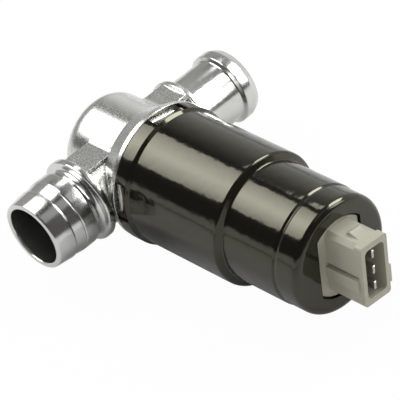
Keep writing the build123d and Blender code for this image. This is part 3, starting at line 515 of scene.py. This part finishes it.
band_r = 20.2
barrel_r = 19.4
barrel_bore_r = 18.3
step_r = 17.3
step_bore_r = 16.2
tail_r = 17.05
tail_bore_r = 15.95
can_end = 44.6
end_inside = 43.5
can_turns = 480
can_outline = rounded([
    (lip_back, 19.12, 0.0), (lip_back, band_r, 0.45), (-16.8, band_r, 0.6), (-15.9, barrel_r, 0.5),
    (16.8, barrel_r, 0.9), (17.7, step_r, 0.6), (35.9, step_r, 0.5), (36.6, 16.9, 0.5), (37.3, tail_r, 0.6),
    (can_end, tail_r, 2.0), (can_end, axis_r, 0.0), (end_inside, axis_r, 0.0),
    (end_inside, tail_bore_r, 0.9), (36.65, tail_bore_r, 0.0), (35.25, step_bore_r, 0.0),
    (17.05, step_bore_r, 0.0), (16.15, barrel_bore_r, 0.0), (-15.9, barrel_bore_r, 0.0),
    (-16.55, 19.1, 0.0), (lip_back, 19.12, 0.0)], steps=8)
can_profile = resampled(can_outline, longest=1.5)[:-1]
can = solid("can_shell", turned(can_profile, can_turns), closed=True)
windows = crimp_blocks("window", (-22.5, 17.6, -crimp_half_width), (-16.8, past_band, crimp_half_width))

# The end wall has a round window with two flats, turned with the plug
end_window_r = 12.1
end_window_half = 8.2
end_window_points = 128
plug_turn = np.radians(-6.5)
end_angle = np.linspace(0.0, 2.0 * np.pi, end_window_points, endpoint=False)
end_u = np.clip(end_window_r * np.cos(end_angle), -end_window_half, end_window_half)
end_v = end_window_r * np.sin(end_angle)
end_y = end_u * np.cos(plug_turn) - end_v * np.sin(plug_turn)
end_z = end_u * np.sin(plug_turn) + end_v * np.cos(plug_turn)
end_grid = np.stack([np.column_stack([np.full(end_window_points, x), end_y, end_z]) for x in (42.8, 45.4)])
windows.append(solid("end_window", end_grid))
cut(can, windows, "DIFFERENCE")
outward(can.data)
shade(can, degrees=35.0)
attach(can, "housing")
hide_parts("motor_can")

# Paint of the can: black enamel, sprayed and baked, so it has a wet gloss with a slight orange peel.
# Its clear resin has a warm cast, which shows in what it mirrors.
paint_black = "12110E"
paint_warm = (1.0, 0.98, 0.75, 1.0)
paint_rough = (0.05, 0.16)
peel_mm = 2.6
dust_mm = 0.5
paint, tree = start_material("baked_black_enamel")
place = add(tree, "ShaderNodeTexCoord").outputs["Object"]
peel = add(tree, "ShaderNodeTexNoise", {"Vector": place}, Scale=per_metre(peel_mm), Detail=1.0,
           Roughness=0.4)
dust = add(tree, "ShaderNodeTexNoise", {"Vector": place}, Scale=per_metre(dust_mm), Detail=2.0,
           Roughness=0.6)
wet = add(tree, "ShaderNodeBump", {"Height": peel.outputs[0]}, Strength=0.6, Distance=0.09 * mm)
haze = add(tree, "ShaderNodeMapRange", {0: dust.outputs[0], 3: paint_rough[0], 4: paint_rough[1]})
enamel = add(tree, "ShaderNodeBsdfPrincipled", {"Roughness": haze.outputs[0], "Normal": wet.outputs[0]},
             Base_Color=linear(paint_black), IOR=1.6, Specular_Tint=paint_warm)
add(tree, "ShaderNodeOutputMaterial", {"Surface": enamel.outputs[0]})
can.data.materials.clear()
can.data.materials.append(paint)


# Plug housing
# One moulding of glass-filled plastic, light grey: a plinth in the can's window and the box of the socket.
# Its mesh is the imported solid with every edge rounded, as moulded edges are.
def softened(name, node, radius_mm, degrees):
    """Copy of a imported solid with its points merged, flat faces joined, and its edges rounded."""
    mesh = nodes[node].data.copy()
    form = bmesh.new()
    form.from_mesh(mesh)
    bmesh.ops.remove_doubles(form, verts=form.verts, dist=1e-6)
    bmesh.ops.dissolve_limit(form, angle_limit=np.radians(0.5), verts=form.verts, edges=form.edges)
    form.to_mesh(mesh)
    form.free()
    piece = bpy.data.objects.new(name, mesh)
    bpy.context.scene.collection.objects.link(piece)
    rim = piece.modifiers.new("rounded_edges", "BEVEL")
    rim.width = radius_mm * mm
    rim.segments = 3
    rim.limit_method = "ANGLE"
    rim.angle_limit = np.radians(degrees)
    rim.harden_normals = False
    shade(piece, degrees=30.0)
    return piece


plug = softened("plug_moulding", "plug_housing", radius_mm=0.22, degrees=28.0)
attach(plug, "housing")
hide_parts("plug_housing")

# Plastic of the plug: polyamide with glass, moulded in a spark-eroded tool, which makes it satin
# with a fine grain.
plug_grey = "9F9D8B"
plug_grey_dark = "939184"
plastic_rough = (0.38, 0.52)
plastic_flow_mm = 5.0
plastic_grain_mm = 0.25
plastic, tree = start_material("moulded_grey_polyamide")
place = add(tree, "ShaderNodeTexCoord").outputs["Object"]
flow = add(tree, "ShaderNodeTexNoise", {"Vector": place}, Scale=per_metre(plastic_flow_mm), Detail=3.0,
           Roughness=0.55)
spark = add(tree, "ShaderNodeTexNoise", {"Vector": place}, Scale=per_metre(plastic_grain_mm), Detail=2.0,
            Roughness=0.6)
grey = add(tree, "ShaderNodeMix", {0: flow.outputs[0], 6: linear(plug_grey), 7: linear(plug_grey_dark)},
           data_type="RGBA")
satin = add(tree, "ShaderNodeMapRange", {0: spark.outputs[0], 3: plastic_rough[0], 4: plastic_rough[1]})
eroded = add(tree, "ShaderNodeBump", {"Height": spark.outputs[0]}, Strength=0.3, Distance=0.02 * mm)
moulding = add(tree, "ShaderNodeBsdfPrincipled",
               {"Base Color": grey.outputs[2], "Roughness": satin.outputs[0], "Normal": eroded.outputs[0]},
               IOR=1.5)
add(tree, "ShaderNodeOutputMaterial", {"Surface": moulding.outputs[0]})
plug.data.materials.clear()
plug.data.materials.append(plastic)


# Crimp tongues
# Each is cut free from the can's band on three sides and bent down on the casting behind the lip.
# They are the can's own sheet, so they have its paint, and a punch has pressed their middle in.
def strip(name, path, wall, half_width, edge, dish, lines=17):
    """Sheet bent along a path, a wall thick, and pressed in by a dish times (1 - share across squared).
    Over the last edge millimetres at each side its section is drawn in by the share edge."""
    step = np.gradient(path, axis=0)
    normal = np.column_stack([-step[:, 1], step[:, 0]])
    normal = normal / np.linalg.norm(normal, axis=1)[:, None]
    section = np.concatenate([path, (path + normal * wall)[::-1]])
    inner = section.mean(axis=0) + (section - section.mean(axis=0)) * (1.0 - edge)
    between = np.linspace(edge - half_width, half_width - edge, lines)
    places = np.concatenate([[-half_width], between, [half_width]])
    sections = [inner] + [section] * lines + [inner]
    grid = np.stack([np.column_stack([line[:, 0], np.full(len(line), across),
                                      line[:, 1] - dish * (1.0 - (across / half_width) ** 2)])
                     for across, line in zip(places, sections)])
    return solid(name, grid)


tongue_wall = 0.48
tongue_half_width = 4.6
tongue_path = rounded([(-16.3, 19.6, 0.0), (-17.2, 19.35, 0.6), (-19.2, 18.42, 1.2), (-20.2, 18.4, 0.0)],
                      steps=6)
tongue_path = resampled(tongue_path, longest=0.3)
for number, crimp_turn in enumerate(crimp_angles):
    tongue = strip("crimp_tongue_%d" % (number + 1), tongue_path[::-1], -tongue_wall, tongue_half_width,
                   edge=0.12, dish=0.40)
    tongue.data.transform(Matrix.Rotation(float(crimp_turn - np.pi / 2.0), 4, "X"))
    outward(tongue.data)
    shade(tongue, degrees=40.0)
    tongue.data.materials.append(paint)
    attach(tongue, "housing")
    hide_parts("motor_can")


# Contact blades
# Stamped brass, tinned: the tin is bright with a faint bloom and fine drawing lines along each blade.
def speckled(name, light, dark, rough, size_mm, relief_mm, stretch=(1.0, 1.0, 1.0), metallic=1.0, ior=1.5):
    """Finish whose colour, roughness and height all follow one noise: its features have a size,
    drawn out by 1 / stretch on each axis."""
    made, tree = start_material(name)
    place = add(tree, "ShaderNodeTexCoord").outputs["Object"]
    drawn = add(tree, "ShaderNodeVectorMath", {0: place, 1: stretch}, operation="MULTIPLY")
    spots = add(tree, "ShaderNodeTexNoise", {"Vector": drawn.outputs[0]}, Scale=per_metre(size_mm),
                Detail=3.0, Roughness=0.6)
    colour = add(tree, "ShaderNodeMix", {0: spots.outputs[0], 6: linear(dark), 7: linear(light)},
                 data_type="RGBA")
    dull = add(tree, "ShaderNodeMapRange", {0: spots.outputs[0], 1: 0.3, 2: 0.7, 3: rough[0], 4: rough[1]})
    bump = add(tree, "ShaderNodeBump", {"Height": spots.outputs[0]}, Strength=0.5, Distance=relief_mm * mm)
    ready = add(tree, "ShaderNodeBsdfPrincipled",
                {"Base Color": colour.outputs[2], "Roughness": dull.outputs[0], "Normal": bump.outputs[0]},
                Metallic=metallic, IOR=ior)
    add(tree, "ShaderNodeOutputMaterial", {"Surface": ready.outputs[0]})
    return made


def dress(material, *names):
    """Gives CAD nodes one material."""
    for name in names:
        mesh = nodes[name].data
        mesh.materials.clear()
        mesh.materials.append(material)


rings_about_x = (1.0, 0.1, 0.1)
tin = speckled("tinned_brass", "CFCDC6", "9C9A92", rough=(0.26, 0.38), size_mm=0.3, relief_mm=0.01,
               stretch=(0.1, 1.0, 1.0))
dress(tin, "blade_upper", "blade_middle", "blade_lower")

# Bearing plate and rotary slide
# Both are die-cast aluminium, turned where they seat or run, which leaves fine rings about the motor axis.
turned_aluminium = speckled("turned_aluminium", "DCDCD8", "B4B4B0", rough=(0.22, 0.36), size_mm=0.4,
                            relief_mm=0.02, stretch=(1.0, 0.06, 0.06))
dress(turned_aluminium, "bearing_plate", "rotary_slide")

# Seals
# Black nitrile rubber, moulded smooth, with a dry bloom.
nitrile = speckled("moulded_nitrile", "1E1D1C", "141413", rough=(0.5, 0.7), size_mm=0.6, relief_mm=0.02,
                   metallic=0.0)
dress(nitrile, "plate_seal", "shaft_seal", "plug_seal")

# Shaft, bearing, pin, ring and springs
# Hardened steel, ground round or rolled flat, bright with faint grinding lines.
ground_steel = speckled("ground_steel", "C9C9CB", "A6A6A9", rough=(0.14, 0.26), size_mm=0.25, relief_mm=0.01,
                        stretch=rings_about_x)
dress(ground_steel, "rotor_shaft", "bearing_outer_race", "bearing_inner_race", "bearing_balls", "stop_pin",
      "retaining_ring", "thrust_washer")
spring_steel = speckled("rolled_spring_steel", "8C8F95", "5F6268", rough=(0.25, 0.4), size_mm=0.4,
                        relief_mm=0.01, stretch=(0.2, 1.0, 1.0))
dress(spring_steel, "magnet_clip_upper", "magnet_clip_lower", "brush_spring_a", "brush_spring_b",
      "brush_spring_c")

# Magnets
# Ferrite, pressed and fired, a dark grey ceramic that is ground on its curved faces.
ferrite = speckled("fired_ferrite", "4A4A4C", "343436", rough=(0.5, 0.68), size_mm=0.5, relief_mm=0.03,
                   metallic=0.0, ior=2.0)
dress(ferrite, "magnet_far", "magnet_near")


# Armature core
# Electrical steel sheets half a millimetre thick, stacked along the shaft: their edges show as fine lines.
def per_band(pitch_mm):
    """Scale at which a band wave repeats with a pitch in millimetres: pi / (10 x pitch in metres)."""
    return per_metre(pitch_mm) * np.pi / 10.0


sheet_mm = 0.5
sheet_rough = (0.35, 0.55)
rust_mm = 2.0
laminated, tree = start_material("stacked_electrical_steel")
place = add(tree, "ShaderNodeTexCoord").outputs["Object"]
sheets = add(tree, "ShaderNodeTexWave", {"Vector": place}, wave_type="BANDS", bands_direction="X",
             Scale=per_band(sheet_mm), Distortion=0.0)
rust = add(tree, "ShaderNodeTexNoise", {"Vector": place}, Scale=per_metre(rust_mm), Detail=3.0,
           Roughness=0.6)
seam = add(tree, "ShaderNodeMix", {0: sheets.outputs["Fac"], 6: linear("4A4A4B"), 7: linear("8B8B8D")},
           data_type="RGBA")
seam_rough = add(tree, "ShaderNodeMapRange", {0: rust.outputs[0], 3: sheet_rough[0], 4: sheet_rough[1]})
seam_bump = add(tree, "ShaderNodeBump", {"Height": sheets.outputs["Fac"]}, Strength=0.6, Distance=0.03 * mm)
stack = add(tree, "ShaderNodeBsdfPrincipled",
            {"Base Color": seam.outputs[2], "Roughness": seam_rough.outputs[0],
             "Normal": seam_bump.outputs[0]}, Metallic=1.0)
add(tree, "ShaderNodeOutputMaterial", {"Surface": stack.outputs[0]})
dress(laminated, "armature_core")

# Windings
# Enamelled copper wire, wound in layers: each turn is a fine ridge round the core, red brown under varnish.
wire_mm = 0.35
enamelled, tree = start_material("enamelled_copper_wire")
place = add(tree, "ShaderNodeTexCoord").outputs["Object"]
turns_of_wire = add(tree, "ShaderNodeTexWave", {"Vector": place}, wave_type="BANDS", bands_direction="Z",
                    Scale=per_band(wire_mm), Distortion=0.4)
# Painted shade: the colour goes dark brown in the groove between turns and copper on each crest.
copper_and_groove_shade = add(tree, "ShaderNodeMix",
             {0: turns_of_wire.outputs["Fac"], 6: linear("5E2A16"), 7: linear("B5683C")}, data_type="RGBA")
ridge = add(tree, "ShaderNodeBump", {"Height": turns_of_wire.outputs["Fac"]}, Strength=0.8,
            Distance=0.1 * mm)
varnished = add(tree, "ShaderNodeBsdfPrincipled",
                {"Base Color": copper_and_groove_shade.outputs[2], "Normal": ridge.outputs[0]}, Metallic=1.0, Roughness=0.32,
                Coat_Weight=0.6)
add(tree, "ShaderNodeOutputMaterial", {"Surface": varnished.outputs[0]})
dress(enamelled, "opening_winding", "closing_winding")

# Drum, slip contacts, brushes and their holder
# Phenolic mouldings carry copper contacts, which three carbon brushes run on.
phenolic = speckled("moulded_phenolic", "262423", "191817", rough=(0.4, 0.55), size_mm=0.3, relief_mm=0.02,
                    metallic=0.0)
dress(phenolic, "contact_drum", "brush_holder")
contact_copper = speckled("turned_copper", "C98A62", "A5643F", rough=(0.25, 0.4), size_mm=0.3,
                          relief_mm=0.01, stretch=rings_about_x)
dress(contact_copper, "slip_contacts")
carbon = speckled("pressed_carbon", "3A3A3B", "262627", rough=(0.45, 0.6), size_mm=0.2, relief_mm=0.03,
                  metallic=0.0, ior=1.8)
dress(carbon, "brush_a", "brush_b", "brush_c")

# Rear bush
# Bronze powder, pressed and sintered, dull and porous, soaked in oil.
sintered = speckled("sintered_bronze", "9A7A48", "6E5430", rough=(0.45, 0.6), size_mm=0.25, relief_mm=0.04)
dress(sintered, "rear_bush")
